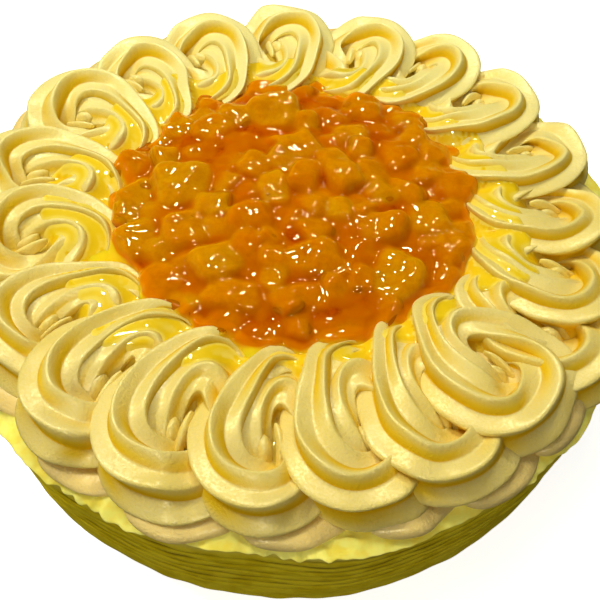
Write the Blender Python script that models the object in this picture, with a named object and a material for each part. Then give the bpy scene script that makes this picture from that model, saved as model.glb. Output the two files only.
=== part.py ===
"""A round mango cake: a low sponge coated in lemon-yellow cream with a combed side, a border of
twenty overlapping rosettes piped with a six-point star nozzle, and diced mango in set glaze."""

import math

import bmesh
import bpy
import numpy as np
from mathutils import Euler, Matrix, Vector

# Sizes are in metres. The origin is the centre of the underside, and the front of the cake faces -Y.
CAKE_RADIUS = 0.110
CAKE_HEIGHT = 0.044
GAP = 0.0003
PIPED_GAP = 0.0005

# The coated cake: a foot ring, a side combed into level ridges, and a ragged sloping rim.
SIDE_SECTORS = 48
COMB_RIDGES = 10
RIDGE_DEPTH = 0.0009
RIDGE_WAVE = 0.0006
FOOT_RADIUS = 0.1115
FOOT_HEIGHT = 0.0022
RIM_DROP = 0.0022
RIM_INNER_RADIUS = 0.1072
RIM_RAGGED = 0.0011

# The rosettes, in the order in which they were piped: each one lies on the one before it.
# Each is given by its angle in degrees, from +X towards +Y, and by how far its middle is from the axis.
ROSETTE_PLACES = ((329, 0.0860), (344, 0.0828), (1, 0.0805), (19, 0.0818), (39, 0.0828),
                  (57, 0.0832), (74, 0.0795), (96, 0.0800), (117, 0.0802), (135, 0.0805),
                  (153, 0.0820), (173, 0.0832), (192, 0.0810), (215, 0.0808), (233, 0.0814),
                  (250, 0.0820), (267, 0.0812), (285, 0.0802), (300, 0.0816), (314, 0.0808))
ROSETTE_HALF_LENGTH = 0.0250
ROSETTE_HALF_WIDTH = 0.0212
ROSETTE_HEIGHT = 0.0158
ROSETTE_LEAN = 0.16
ROSETTE_SIZE_SPREAD = 0.045
ROSETTE_EYE = 0.10
ROSETTE_EYE_SHIFT = 0.0025
ROSETTE_EYE_DEPTH = 0.45
ROSETTE_CREST = 0.50
ROSETTE_SHOULDER = 0.53
ROSETTE_LOBES = 4
ROSETTE_SECTORS = 16
ROSETTE_GROOVE = 0.17
ROSETTE_FOOT = 0.93
ROSETTE_END_ANGLE = 276
ROSETTE_END_SPREAD = 14
ROSETTE_SEED = 9

# The mango: a mound of set glaze that reaches to the rosettes, with the dice that show on it.
MOUND_EDGE_HEIGHT = 0.0112
MOUND_CROWN_HEIGHT = 0.0152
MOUND_RADIUS = 0.068
MOUND_SECTORS = 30
MOUND_RINGS = (0.3, 0.6, 0.85)
DICE_COUNT = 40
DICE_REACH = 0.0535
DICE_SIZE = 0.0128
DICE_SIZE_SPREAD = 0.20
DICE_ROUNDING = 0.24
DICE_SINK = 0.12
DICE_SEED = 5
GOLDEN_ANGLE = math.pi * (3 - math.sqrt(5))

CREAM = ("piped_cream", (0.90, 0.70, 0.30), 0.42)
COATING = ("lemon_cream", (0.90, 0.82, 0.16), 0.50)
MANGO = ("glazed_mango", (0.85, 0.32, 0.02), 0.12)


def material(name, colour, roughness):
    found = bpy.data.materials.get(name)
    if found:
        return found
    made = bpy.data.materials.new(name)
    made.use_nodes = True
    shader = made.node_tree.nodes["Principled BSDF"]
    shader.inputs["Base Color"].default_value = (*colour, 1.0)
    shader.inputs["Roughness"].default_value = roughness
    shader.inputs["Metallic"].default_value = 0.0
    return made


def add_object(name, mesh, finish, collection=None):
    mesh.materials.append(material(*finish))
    made = bpy.data.objects.new(name, mesh)
    (collection or bpy.context.scene.collection).objects.link(made)
    return made


def mesh_from(name, points, faces):
    """A mesh with its faces turned outwards."""
    mesh = bpy.data.meshes.new(name)
    mesh.from_pydata(points, [], faces)
    shell = bmesh.new()
    shell.from_mesh(mesh)
    bmesh.ops.recalc_face_normals(shell, faces=shell.faces)
    shell.to_mesh(mesh)
    shell.free()
    return mesh


def keep_largest_body(mesh):
    """Drops the loose scraps that a cut leaves beside the main body."""
    shell = bmesh.new()
    shell.from_mesh(mesh)
    unseen = set(shell.verts)
    bodies = []
    while unseen:
        reached = [unseen.pop()]
        body = list(reached)
        while reached:
            for edge in reached.pop().link_edges:
                for vertex in edge.verts:
                    if vertex in unseen:
                        unseen.remove(vertex)
                        reached.append(vertex)
                        body.append(vertex)
        bodies.append(body)
    bodies.sort(key=len, reverse=True)
    for scrap in bodies[1:]:
        bmesh.ops.delete(shell, geom=scrap, context="VERTS")
    shell.to_mesh(mesh)
    shell.free()


def apply_modifiers(target):
    graph = bpy.context.evaluated_depsgraph_get()
    mesh = bpy.data.meshes.new_from_object(target.evaluated_get(graph))
    target.modifiers.clear()
    target.data = mesh


def ragged(angle, scale):
    """An uneven wave round the cake, from -1 to 1, for the torn edge of the coating."""
    wave = math.sin(5 * angle + 0.6) + 0.7 * math.sin(11 * angle + 2.1) + 0.6 * math.sin(23 * angle)
    return scale * wave / 2.3


def iced_cake():
    """The coated cake, spun from its half section and then made uneven by hand."""
    pitch = (CAKE_HEIGHT - RIM_DROP - FOOT_HEIGHT) / COMB_RIDGES
    profile = [(FOOT_RADIUS, 0.0), (FOOT_RADIUS, FOOT_HEIGHT * 0.5)]
    for ridge in range(COMB_RIDGES):
        base = FOOT_HEIGHT + ridge * pitch
        profile.append((CAKE_RADIUS - RIDGE_DEPTH, base))
        profile.append((CAKE_RADIUS, base + pitch * 0.55))
    rim_start = len(profile)
    profile.append((CAKE_RADIUS, CAKE_HEIGHT - RIM_DROP))
    profile.append((RIM_INNER_RADIUS, CAKE_HEIGHT))
    shell = bmesh.new()
    verts = [shell.verts.new((radius, 0, height)) for radius, height in profile]
    edges = [shell.edges.new(pair) for pair in zip(verts, verts[1:])]
    bmesh.ops.spin(shell, geom=verts + edges, axis=(0, 0, 1), cent=(0, 0, 0),
                   angle=2 * math.pi, steps=SIDE_SECTORS, use_duplicate=False)
    bmesh.ops.remove_doubles(shell, verts=shell.verts, dist=1e-5)
    open_edges = [edge for edge in shell.edges if edge.is_boundary]
    bmesh.ops.holes_fill(shell, edges=open_edges, sides=0)
    bmesh.ops.recalc_face_normals(shell, faces=shell.faces)
    comb_low = profile[2][1] - 1e-5
    rim_low = profile[rim_start][1] - 1e-5
    for vertex in shell.verts:
        radius = math.hypot(vertex.co.x, vertex.co.y)
        angle = math.atan2(vertex.co.y, vertex.co.x)
        height = vertex.co.z
        if height < comb_low or height > CAKE_HEIGHT - 1e-5:
            continue
        share = min(1.0, (height - comb_low) / (rim_low - comb_low))
        shift = RIDGE_WAVE * math.sin(3 * angle + 1.0) * share
        swell = ragged(angle, RIM_RAGGED * share ** 3)
        drop = ragged(angle + 0.4, RIM_RAGGED) if height > rim_low else 0.0
        vertex.co.x *= (radius + swell) / radius
        vertex.co.y *= (radius + swell) / radius
        vertex.co.z = height + shift + drop
    mesh = bpy.data.meshes.new("iced_cake")
    shell.to_mesh(mesh)
    shell.free()
    return add_object("iced_cake", mesh, COATING)


def lobe_radius(lobe, last):
    """Where a ridge line lies between the eye, 0, and the outer edge, 1: ridges close up outwards."""
    return ROSETTE_EYE + (1 - ROSETTE_EYE) * math.sin(math.pi / 2 * min(1.0, lobe / last))


def rope_height(share):
    """The swirl's height from its eye, 0, to its edge, 1: it sinks a little to the eye and rounds off outside."""
    if share < ROSETTE_CREST:
        return ROSETTE_HEIGHT * (1 - ROSETTE_EYE_DEPTH * (1 - share / ROSETTE_CREST) ** 2)
    return ROSETTE_HEIGHT * math.sqrt(1 - ((share - ROSETTE_CREST) / ROSETTE_SHOULDER) ** 2)


def rosette_mesh(name, scale, end, grow=0.0):
    """A rosette as one strip, a ridge wide, wound clockwise from the eye outwards, on a flat foot.
    Local +X points to the next rosette and +Y away from the cake's centre, so seen from above the local
    angle runs clockwise. The strip ends at the local angle end. grow swells it for a cutter."""
    sectors = ROSETTE_SECTORS
    last_step = round(ROSETTE_LOBES * sectors)
    last_lobe = ROSETTE_LOBES + 0.5

    def place(lobe, step, groove):
        angle = end + 2 * math.pi * (step - last_step) / sectors + grow / ROSETTE_HALF_WIDTH
        share = lobe_radius(lobe, last_lobe)
        x = share * (ROSETTE_HALF_WIDTH * scale + grow) * math.cos(angle)
        y = share * (ROSETTE_HALF_LENGTH * scale + grow) * math.sin(angle)
        y -= ROSETTE_EYE_SHIFT * (1 - share)
        height = rope_height(share) * scale * (1 - groove) * (1 - ROSETTE_LEAN * x / ROSETTE_HALF_WIDTH)
        return Vector((x, y, height + grow))

    valleys = [place(step / sectors, step, ROSETTE_GROOVE) for step in range(last_step + 1)]
    crests = [place(step / sectors + 0.5, step, 0.0) for step in range(last_step + 1)]
    points = valleys + crests
    crest = len(valleys)
    faces = []
    for step in range(last_step):
        faces.append((step, crest + step, crest + step + 1, step + 1))
    for step in range(last_step - sectors):
        faces.append((crest + step, step + sectors, step + sectors + 1, crest + step + 1))
    eye = len(points)
    points.append(Vector((0, -ROSETTE_EYE_SHIFT, valleys[0].z * 0.9)))
    for step in range(sectors):
        faces.append((eye, step, step + 1))
    faces.append((eye, sectors, crest, 0))
    outline = [crest + step for step in range(last_step - sectors, last_step + 1)] + [last_step]
    foot = len(points)
    for index in outline:
        place_above = points[index]
        points.append(Vector((place_above.x * ROSETTE_FOOT, place_above.y * ROSETTE_FOOT, -3 * grow)))
    count = len(outline)
    for side in range(count):
        after = (side + 1) % count
        faces.append((outline[side], foot + side, foot + after, outline[after]))
    faces.append(tuple(foot + side for side in range(count)))
    return mesh_from(name, points, faces)


def rosette_variants():
    """The size of each rosette and where its rope ends, beside the mango: no two are quite alike."""
    chance = np.random.default_rng(ROSETTE_SEED)
    scales = 1 + ROSETTE_SIZE_SPREAD * chance.uniform(-1, 1, len(ROSETTE_PLACES))
    ends = ROSETTE_END_ANGLE + ROSETTE_END_SPREAD * chance.uniform(-1, 1, len(ROSETTE_PLACES))
    return scales, np.radians(ends)


def rosette_centre(number):
    angle_deg, radius = ROSETTE_PLACES[number]
    angle = math.radians(angle_deg)
    return Vector((radius * math.cos(angle), radius * math.sin(angle), CAKE_HEIGHT + GAP))


def rosette_place(number):
    """Local axes to the cake: +Y outwards, +X to the next rosette, seated just clear of the coating."""
    turn = Matrix.Rotation(math.radians(ROSETTE_PLACES[number][0]) - math.pi / 2, 4, "Z")
    return Matrix.Translation(rosette_centre(number)) @ turn @ Matrix.Scale(-1, 4, (1, 0, 0))


def rosette_border(cutters):
    """Each rosette is cut where the ones piped after it lie on it. The cutters go into a collection."""
    scales, ends = rosette_variants()
    rosettes = []
    for number in range(len(ROSETTE_PLACES)):
        for grow, prefix, collection in ((0.0, "rosette", None), (PIPED_GAP, "space", cutters)):
            name = f"{prefix}_{number + 1:02d}"
            mesh = rosette_mesh(name, scales[number], ends[number], grow)
            mesh.transform(rosette_place(number))
            mesh.flip_normals()
            made = add_object(name, mesh, CREAM, collection)
            if grow == 0.0:
                rosettes.append(made)
            else:
                made.hide_render = True
                made.display_type = "WIRE"
    for number, rosette in enumerate(rosettes):
        for later in range(number + 1, len(rosettes)):
            if (rosette_centre(later) - rosette_centre(number)).length > 2.3 * ROSETTE_HALF_LENGTH:
                continue
            cut = rosette.modifiers.new(f"under_{later + 1:02d}", "BOOLEAN")
            cut.operation = "DIFFERENCE"
            cut.solver = "MANIFOLD"
            cut.object = bpy.data.objects[f"space_{later + 1:02d}"]
        apply_modifiers(rosette)
        keep_largest_body(rosette.data)


def mound_height(share):
    """Height above the coating, from the crown at 0 to the edge at 1."""
    return MOUND_EDGE_HEIGHT + (MOUND_CROWN_HEIGHT - MOUND_EDGE_HEIGHT) * (1 - share ** 2)


def glaze_core():
    """The set glaze: a low dome, wide enough to be cut back to the rosettes all round."""
    floor = CAKE_HEIGHT + GAP
    points = [(0, 0, floor + mound_height(0))]
    rings = [(share, floor + mound_height(share)) for share in (*MOUND_RINGS, 1.0)] + [(1.0, floor)]
    for share, height in rings:
        for sector in range(MOUND_SECTORS):
            angle = 2 * math.pi * sector / MOUND_SECTORS
            reach = MOUND_RADIUS * share
            points.append((math.cos(angle) * reach, math.sin(angle) * reach, height))
    faces = [(0, 1 + side, 1 + (side + 1) % MOUND_SECTORS) for side in range(MOUND_SECTORS)]
    for ring in range(len(rings) - 1):
        start = 1 + ring * MOUND_SECTORS
        for side in range(MOUND_SECTORS):
            after = (side + 1) % MOUND_SECTORS
            faces.append((start + side, start + MOUND_SECTORS + side,
                          start + MOUND_SECTORS + after, start + after))
    last = len(points) - MOUND_SECTORS
    faces.append(tuple(last + side for side in range(MOUND_SECTORS)))
    return mesh_from("mango_in_glaze", points, faces)


def dice_places():
    """Dice spread by the golden angle over the mound: centre, size along each axis, and turn."""
    chance = np.random.default_rng(DICE_SEED)
    places = []
    for number in range(DICE_COUNT):
        radius = DICE_REACH * math.sqrt((number + 0.6) / DICE_COUNT)
        angle = number * GOLDEN_ANGLE + chance.uniform(-0.12, 0.12)
        size = DICE_SIZE * (1 + DICE_SIZE_SPREAD * chance.uniform(-1, 1))
        shape = size * np.array([chance.uniform(1.0, 1.35), chance.uniform(0.85, 1.05), chance.uniform(0.75, 0.95)])
        turn = Euler(tuple(chance.uniform(-0.45, 0.45, 2)) + (chance.uniform(0, math.pi),))
        lift = mound_height(radius / DICE_REACH * 0.95) - DICE_SINK * size
        centre = Vector((radius * math.cos(angle), radius * math.sin(angle), CAKE_HEIGHT + lift))
        places.append((centre, shape, turn))
    return places


def mango_in_glaze(cutters):
    """The core and the dice that show, joined into one body and cut back to the rosettes."""
    core = add_object("mango_in_glaze", glaze_core(), MANGO)
    dice = bpy.data.collections.new("dice")
    bpy.context.scene.collection.children.link(dice)
    for number, (centre, shape, turn) in enumerate(dice_places()):
        shell = bmesh.new()
        bmesh.ops.create_cube(shell, size=1.0)
        bmesh.ops.bevel(shell, geom=shell.edges[:], offset=DICE_ROUNDING, segments=1, affect="EDGES")
        mesh = bpy.data.meshes.new(f"dice_{number:02d}")
        shell.to_mesh(mesh)
        shell.free()
        mesh.transform(Matrix.Diagonal((*shape, 1.0)))
        mesh.transform(Matrix.Translation(centre) @ turn.to_matrix().to_4x4())
        add_object(f"dice_{number:02d}", mesh, MANGO, dice)
    for operation, pieces in (("UNION", dice), ("DIFFERENCE", cutters)):
        step = core.modifiers.new(operation.lower(), "BOOLEAN")
        step.operation = operation
        step.solver = "MANIFOLD"
        step.operand_type = "COLLECTION"
        step.collection = pieces
    apply_modifiers(core)
    keep_largest_body(core.data)
    for pieces in (dice, cutters):
        for piece in list(pieces.objects):
            bpy.data.objects.remove(piece)
        bpy.data.collections.remove(pieces)


for old in list(bpy.data.objects):
    bpy.data.objects.remove(old)
iced_cake()
spaces = bpy.data.collections.new("spaces")
bpy.context.scene.collection.children.link(spaces)
rosette_border(spaces)
mango_in_glaze(spaces)
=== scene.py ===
import math

import bpy
import numpy as np
from mathutils import Matrix, Vector


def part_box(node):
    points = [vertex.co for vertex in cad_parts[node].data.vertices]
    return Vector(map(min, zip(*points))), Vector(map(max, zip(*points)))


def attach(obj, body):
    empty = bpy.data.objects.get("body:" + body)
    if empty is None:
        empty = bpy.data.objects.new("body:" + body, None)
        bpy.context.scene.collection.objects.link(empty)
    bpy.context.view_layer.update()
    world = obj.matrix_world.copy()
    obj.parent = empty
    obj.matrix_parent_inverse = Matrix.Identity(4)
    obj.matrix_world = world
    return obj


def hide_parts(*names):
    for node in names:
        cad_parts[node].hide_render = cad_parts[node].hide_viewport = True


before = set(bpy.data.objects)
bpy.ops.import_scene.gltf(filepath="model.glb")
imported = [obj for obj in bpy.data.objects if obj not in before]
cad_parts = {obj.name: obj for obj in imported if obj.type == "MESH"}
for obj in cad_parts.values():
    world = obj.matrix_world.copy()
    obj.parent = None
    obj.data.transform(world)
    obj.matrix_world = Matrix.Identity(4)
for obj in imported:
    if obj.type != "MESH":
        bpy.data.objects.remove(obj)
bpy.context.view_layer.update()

# What every section uses: meshes from points, materials from nodes, and smooth random shapes.
# A piece is made of whole arrays of points at once. A material's values take part in sums, so that
# its colours read like a formula.


def mesh_piece(name, points, face_sets, material, attributes=None):
    """One smooth piece from its points and its faces. All the faces of a set have the same number of
    corners. Each attribute is a value for every point, which the material reads by its name."""
    mesh = bpy.data.meshes.new(name)
    mesh.vertices.add(len(points))
    mesh.vertices.foreach_set("co", np.ascontiguousarray(points, np.float32).ravel())
    corners = np.concatenate([np.ravel(faces) for faces in face_sets]).astype(np.int32)
    counts = np.concatenate([np.full(len(faces), np.shape(faces)[1]) for faces in face_sets])
    mesh.loops.add(len(corners))
    mesh.loops.foreach_set("vertex_index", corners)
    mesh.polygons.add(len(counts))
    mesh.polygons.foreach_set("loop_start", (np.cumsum(counts) - counts).astype(np.int32))
    mesh.update(calc_edges=True)
    mesh.validate()
    mesh.shade_smooth()
    mesh.materials.append(material)
    for label, values in (attributes or {}).items():
        made = mesh.attributes.new(label, "FLOAT", "POINT")
        made.data.foreach_set("value", np.ascontiguousarray(values, np.float32).ravel())
    piece = bpy.data.objects.new(name, mesh)
    bpy.context.scene.collection.objects.link(piece)
    return piece


def grid_faces(rows, columns, closed_rows=False, closed_columns=False, start=0):
    """Faces of a grid of rows by columns, each way open or closed on itself."""
    row = np.arange(rows if closed_rows else rows - 1)
    column = np.arange(columns if closed_columns else columns - 1)
    row, column = np.meshgrid(row, column, indexing="ij")
    row_after, column_after = (row + 1) % rows, (column + 1) % columns
    corners = (row * columns + column, row * columns + column_after,
               row_after * columns + column_after, row_after * columns + column)
    return start + np.stack([corner.ravel() for corner in corners], axis=1)


class Value:
    """A shader socket that takes part in sums: each operator adds a Math node."""

    def __init__(self, shader, socket):
        self.shader = shader
        self.socket = socket

    def math(self, operation, *others):
        inputs = {number: value for number, value in enumerate((self, *others))}
        return self.shader.node("ShaderNodeMath", {"operation": operation}, inputs)

    def __add__(self, other):
        return self.math("ADD", other)

    __radd__ = __add__

    def __mul__(self, other):
        return self.math("MULTIPLY", other)

    __rmul__ = __mul__

    def __sub__(self, other):
        return self.math("SUBTRACT", other)

    def __rsub__(self, other):
        return (self * -1) + other

    def step(self, low, high):
        """0 below low, 1 above high, smooth between them."""
        return self.shader.node("ShaderNodeMapRange", {"interpolation_type": "SMOOTHSTEP"},
                                {"Value": self, "From Min": low, "From Max": high})


class Shader:
    """A material and its one Principled shader."""

    def __init__(self, name, **constants):
        self.material = bpy.data.materials.new(name)
        self.material.use_nodes = True
        self.tree = self.material.node_tree
        self.surface = self.tree.nodes["Principled BSDF"]
        for label, value in constants.items():
            self.surface.inputs[label.replace("_", " ")].default_value = value

    def node(self, kind, settings, inputs, output=0):
        """Adds a node: its settings first, then the values or links of its sockets."""
        made = self.tree.nodes.new(kind)
        for label, value in settings.items():
            setattr(made, label, value)
        for label, value in inputs.items():
            if isinstance(value, Value):
                self.tree.links.new(value.socket, made.inputs[label])
            else:
                made.inputs[label].default_value = value
        return Value(self, made.outputs[output])

    def place(self):
        return self.node("ShaderNodeTexCoord", {}, {}, "Object")

    def attribute(self, name):
        return self.node("ShaderNodeAttribute", {"attribute_name": name}, {}, "Fac")

    def noise(self, vector, scale, detail=2.0, roughness=0.5):
        return self.node("ShaderNodeTexNoise", {}, {"Vector": vector, "Scale": scale, "Detail": detail,
                                                    "Roughness": roughness})

    def mix(self, share, first, second):
        inputs = {0: share, 6: first, 7: second}
        return self.node("ShaderNodeMix", {"data_type": "RGBA"}, inputs, 2)

    def feed(self, label, value):
        self.tree.links.new(value.socket, self.surface.inputs[label])

    def bump(self, height, distance, strength=1.0):
        bumped = self.node("ShaderNodeBump", {}, {"Height": height, "Distance": distance,
                                                  "Strength": strength})
        self.feed("Normal", bumped)


def colour(red, green, blue):
    """A display colour, 0 to 255, as the linear light values that a shader takes."""
    shares = np.array([red, green, blue]) / 255
    linear = np.where(shares <= 0.04045, shares / 12.92, ((shares + 0.055) / 1.055) ** 2.4)
    return (*linear.tolist(), 1.0)


def waves(angle, seed, slowest, fastest, count=14):
    """A smooth random wave round a circle, about -1 to 1: sines of whole periods with random phases."""
    chance = np.random.default_rng(seed)
    periods = chance.integers(slowest, fastest + 1, count)
    phases = chance.uniform(0, 2 * math.pi, count)
    total = sum(np.sin(period * angle + phase) for period, phase in zip(periods, phases))
    return total / math.sqrt(count)


def lumps(points, seed, size, count=18):
    """A smooth random field in space, about -1 to 1: plane waves of about one size, each its own way."""
    chance = np.random.default_rng(seed)
    total = np.zeros(points.shape[:-1])
    for _ in range(count):
        direction = chance.normal(size=3)
        direction /= np.linalg.norm(direction)
        length = size * chance.uniform(0.7, 1.4)
        total += np.sin(points @ direction * (2 * math.pi / length) + chance.uniform(0, 2 * math.pi))
    return total / math.sqrt(count / 2)


def polar(radius, angle, height):
    """Points in space from their distance and bearing from the middle, and their height."""
    return np.stack(np.broadcast_arrays(radius * np.cos(angle), radius * np.sin(angle), height), axis=-1)


def smooth(value, low, high):
    """0 below low, 1 above high, smooth between them."""
    share = np.clip((value - low) / (high - low), 0, 1)
    return share * share * (3 - 2 * share)


# The camera, the pale floor and the light.
# The camera stands in front of the cake and looks down on it, close enough for the near side to look
# larger than the far side. Light comes from windows high up on the left and behind, and softly from
# the room in front. Small bright lamps show only as glints on what is wet.
CAKE_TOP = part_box("iced_cake")[1].z
CAKE_RADIUS = 0.110
PHOTO_SIZE = 600
FOCAL_PIXELS = 748.3
SENSOR_WIDTH = 36.0
CAMERA_ELEVATION = 0.8636
CAMERA_DISTANCE = 2.3068 * CAKE_RADIUS
CAMERA_YAW = -0.0126
CAMERA_PITCH = -0.0989
CAMERA_ROLL = -0.0231

camera_data = bpy.data.cameras.new("camera")
camera_data.sensor_width = SENSOR_WIDTH
camera_data.lens = FOCAL_PIXELS * SENSOR_WIDTH / PHOTO_SIZE
camera_data.clip_start = 0.01
camera = bpy.data.objects.new("camera", camera_data)
bpy.context.scene.collection.objects.link(camera)
camera_place = Vector((0, -CAMERA_DISTANCE * math.cos(CAMERA_ELEVATION),
                       CAKE_TOP + CAMERA_DISTANCE * math.sin(CAMERA_ELEVATION)))
camera.matrix_world = (Matrix.Translation(camera_place)
                       @ Matrix.Rotation(math.pi / 2 - CAMERA_ELEVATION, 4, "X")
                       @ Matrix.Rotation(CAMERA_YAW, 4, "Y")
                       @ Matrix.Rotation(CAMERA_PITCH, 4, "X")
                       @ Matrix.Rotation(-CAMERA_ROLL, 4, "Z"))
bpy.context.scene.camera = camera

# Where each light stands, its size, its power, and whether it is one of those that only glint.
LIGHTS = {
    "soft_ceiling": ((-0.18, 0.22, 1.05), 0.70, 4.0, False),
    "window_left": ((-0.56, 0.16, 0.92), 0.12, 3.7, False),
    "window_behind": ((0.02, 0.50, 0.95), 0.16, 2.6, False),
    "room": ((-0.45, -1.15, 0.80), 1.20, 5.4, False),
    "lamp_left": ((-0.56, 0.16, 0.92), 0.10, 3.9, True),
    "lamp_above": ((-0.12, 0.34, 1.02), 0.10, 3.2, True),
    "lamp_behind": ((0.12, 0.62, 0.86), 0.08, 2.4, True),
    "lamp_front": ((0.10, -0.80, 0.95), 0.10, 2.8, True),
}
WARM = (1.0, 0.94, 0.78)
GOLDEN = (1.0, 0.86, 0.46)
for light_name, (light_place, light_size, light_power, light_glints) in LIGHTS.items():
    light_data = bpy.data.lights.new(light_name, "AREA")
    light_data.shape = "DISK"
    light_data.size = light_size
    light_data.energy = light_power
    light_data.color = GOLDEN if light_glints else WARM
    light = bpy.data.objects.new(light_name, light_data)
    light.visible_glossy = light_glints
    light.visible_diffuse = not light_glints
    bpy.context.scene.collection.objects.link(light)
    towards_cake = Vector((0, 0, CAKE_TOP)) - Vector(light_place)
    light.matrix_world = (Matrix.Translation(light_place)
                          @ towards_cake.to_track_quat("-Z", "Y").to_matrix().to_4x4())

world = bpy.data.worlds.new("room")
world.use_nodes = True
world.node_tree.nodes["Background"].inputs["Color"].default_value = (1.0, 0.99, 0.97, 1.0)
world.node_tree.nodes["Background"].inputs["Strength"].default_value = 0.10
world.cycles_visibility.glossy = False
bpy.context.scene.world = world
bpy.context.scene.view_settings.view_transform = "Standard"

FLOOR_REACH = 3.0
floor_corners = [(x * FLOOR_REACH, y * FLOOR_REACH, 0) for x, y in ((-1, -1), (1, -1), (1, 1), (-1, 1))]
floor = mesh_piece("floor", floor_corners, [[(0, 1, 2, 3)]], bpy.data.materials.new("pale_floor"))
floor.data.materials[0].use_nodes = True
floor_shader = floor.data.materials[0].node_tree.nodes["Principled BSDF"]
floor_shader.inputs["Base Color"].default_value = (0.93, 0.93, 0.92, 1.0)
floor_shader.inputs["Roughness"].default_value = 0.9
floor_shader.inputs["Specular IOR Level"].default_value = 0.1
floor_shader.inputs["Emission Color"].default_value = (1.0, 1.0, 0.99, 1.0)
floor_shader.inputs["Emission Strength"].default_value = 0.78
floor.visible_glossy = False
floor.visible_diffuse = False

# The sponge in its coat of lemon-yellow cream.
# The cream is spread on with a palette knife, then a fine comb is drawn round the side. The comb
# leaves level grooves and drags the cream up over the rim, where it tears into ragged flaps.
SIDE_COLUMNS = 880
COMB_TEETH = 9
# Where the rows of points stand between one groove, 0, and the next, 1, and how much of its depth
# is there.
RIDGE_ROWS = (0.0, 0.11, 0.22, 0.42, 0.64, 0.80, 0.90)
RIDGE_CUT = (1.0, 0.60, 0.08, 0.0, 0.0, 0.08, 0.60)
# How deep the grooves are, how high above the table the side begins, and how far the rim tears down.
GROOVE_DEPTH = 0.0014
SIDE_START = 0.0012
RIM_TEAR = 0.0011
# How much of the torn edge's bulges the side below it takes.
EDGE_SHARE = 6 / 7
# The rows of the underside: how far in from the side, and how high.
BASE_ROWS = ((0.105, 0.0), (0.004, 0.0), (0.0004, 0.0004))
# The rows of the torn rim and the ledge: how far in from the side, and what part of the tear is left.
RIM_ROWS = ((-0.0007, 1.0), (-0.0010, 0.86), (-0.0008, 0.74), (-0.0002, 0.62), (0.0008, 0.50),
            (0.0020, 0.34), (0.0034, 0.18), (0.0050, 0.08), (0.0075, 0.02), (0.011, 0.0),
            (0.017, 0.0), (0.04, 0.0), (0.105, 0.0))


def coated_cake():
    """The half section, from the middle of the underside up the side and over the rim to the middle of
    the top, spun round. Rows of points follow the comb's grooves, which wander a little up and down, and
    the top edge tears down over them. Returns the points, the grooves and what belongs to the side."""
    angle = np.linspace(0, 2 * math.pi, SIDE_COLUMNS, endpoint=False)[None, :]
    torn = np.clip(waves(angle, 15, 3, 12), 0.15, 1)
    tear = 0.7 * waves(angle, 8, 4, 16) + 0.7 * torn * waves(angle, 9, 40, 190)
    edge_drop = 0.0004 + RIM_TEAR * np.logaddexp(0, 1.6 * tear + 0.5)
    edge_out = 0.0003 * waves(angle, 12, 9, 40) + 0.0004 * torn * waves(angle, 14, 60, 190)

    # The heights of the side's rows, bent under the torn edge.
    place = (np.arange(COMB_TEETH)[:, None] + np.array(RIDGE_ROWS)).ravel()[:, None]
    drift = 0.16 * waves(angle, 3, 1, 5) + 0.03 * waves(angle, 4, 8, 24)
    height = SIDE_START + (CAKE_TOP - SIDE_START) * place / (COMB_TEETH + drift)
    soft = 0.0003
    height = -soft * np.logaddexp(-height / soft, (edge_drop - CAKE_TOP + 0.0006) / soft)
    share = height / CAKE_TOP

    # The grooves, worn off in places and left out beside the table and below the rim.
    wear = 0.95 + 0.30 * waves(angle + 1.7 * np.floor(place), 5, 3, 22)
    spots = polar(CAKE_RADIUS, angle, 2.5 * height)
    wear = np.clip(wear * smooth(lumps(spots, 13, 0.045), -1.8, -0.2), 0.15, 1.2)
    groove = np.tile(RIDGE_CUT, COMB_TEETH)[:, None] * wear * smooth(height, 0.001, 0.003)
    groove = groove * smooth(share, 0.90, 0.84) * smooth(share, 0.20, 0.32)
    swell = 0.0008 * waves(angle, 6, 4, 16) * (0.3 + share) + 0.00010 * lumps(spots, 7, 0.012)
    swell = np.clip(swell, -0.0022, 0.0012) - 0.0004 * smooth(share, 0.84, 0.91)
    radius = CAKE_RADIUS + swell - GROOVE_DEPTH * groove
    radius = radius + EDGE_SHARE * edge_out * smooth(share, 0.75, 1.0)

    # The rim and the ledge, with the strokes of the palette knife.
    base_in, base_height = (np.array(values)[:, None] for values in zip(*BASE_ROWS))
    rim_in, rim_drop = (np.array(values)[:, None] for values in zip(*RIM_ROWS))
    rim_radius = radius[-1] - rim_in + edge_out * smooth(rim_in, 0.02, 0.0)
    rim_height = CAKE_TOP - edge_drop * rim_drop
    ledge = smooth(rim_in, -0.0004, 0.003) * smooth(rim_in, 0.05, 0.02)
    spots = polar(rim_radius, angle, 0)
    strokes = np.stack(np.broadcast_arrays(3 * rim_radius, 0.7 * CAKE_RADIUS * np.cos(angle),
                                           0.7 * CAKE_RADIUS * np.sin(angle)), axis=-1)
    rim_height = rim_height + 0.0006 * ledge * (lumps(spots, 10, 0.014) + lumps(strokes, 11, 0.007))

    radius = np.concatenate([CAKE_RADIUS - base_in + 0 * angle, radius, rim_radius])
    height = np.concatenate([base_height + 0 * angle, height, rim_height])
    radius[[0, -1]] = 0
    none = np.zeros((1, SIDE_COLUMNS))
    grooves = np.concatenate([none] * len(BASE_ROWS) + [groove] + [none] * len(RIM_ROWS))
    side = np.concatenate([none + 1] * (len(BASE_ROWS) + len(place)) + [none + 0.7, none + 0.25]
                          + [none] * (len(RIM_ROWS) - 2))
    return polar(radius, angle, height), grooves, side


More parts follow.
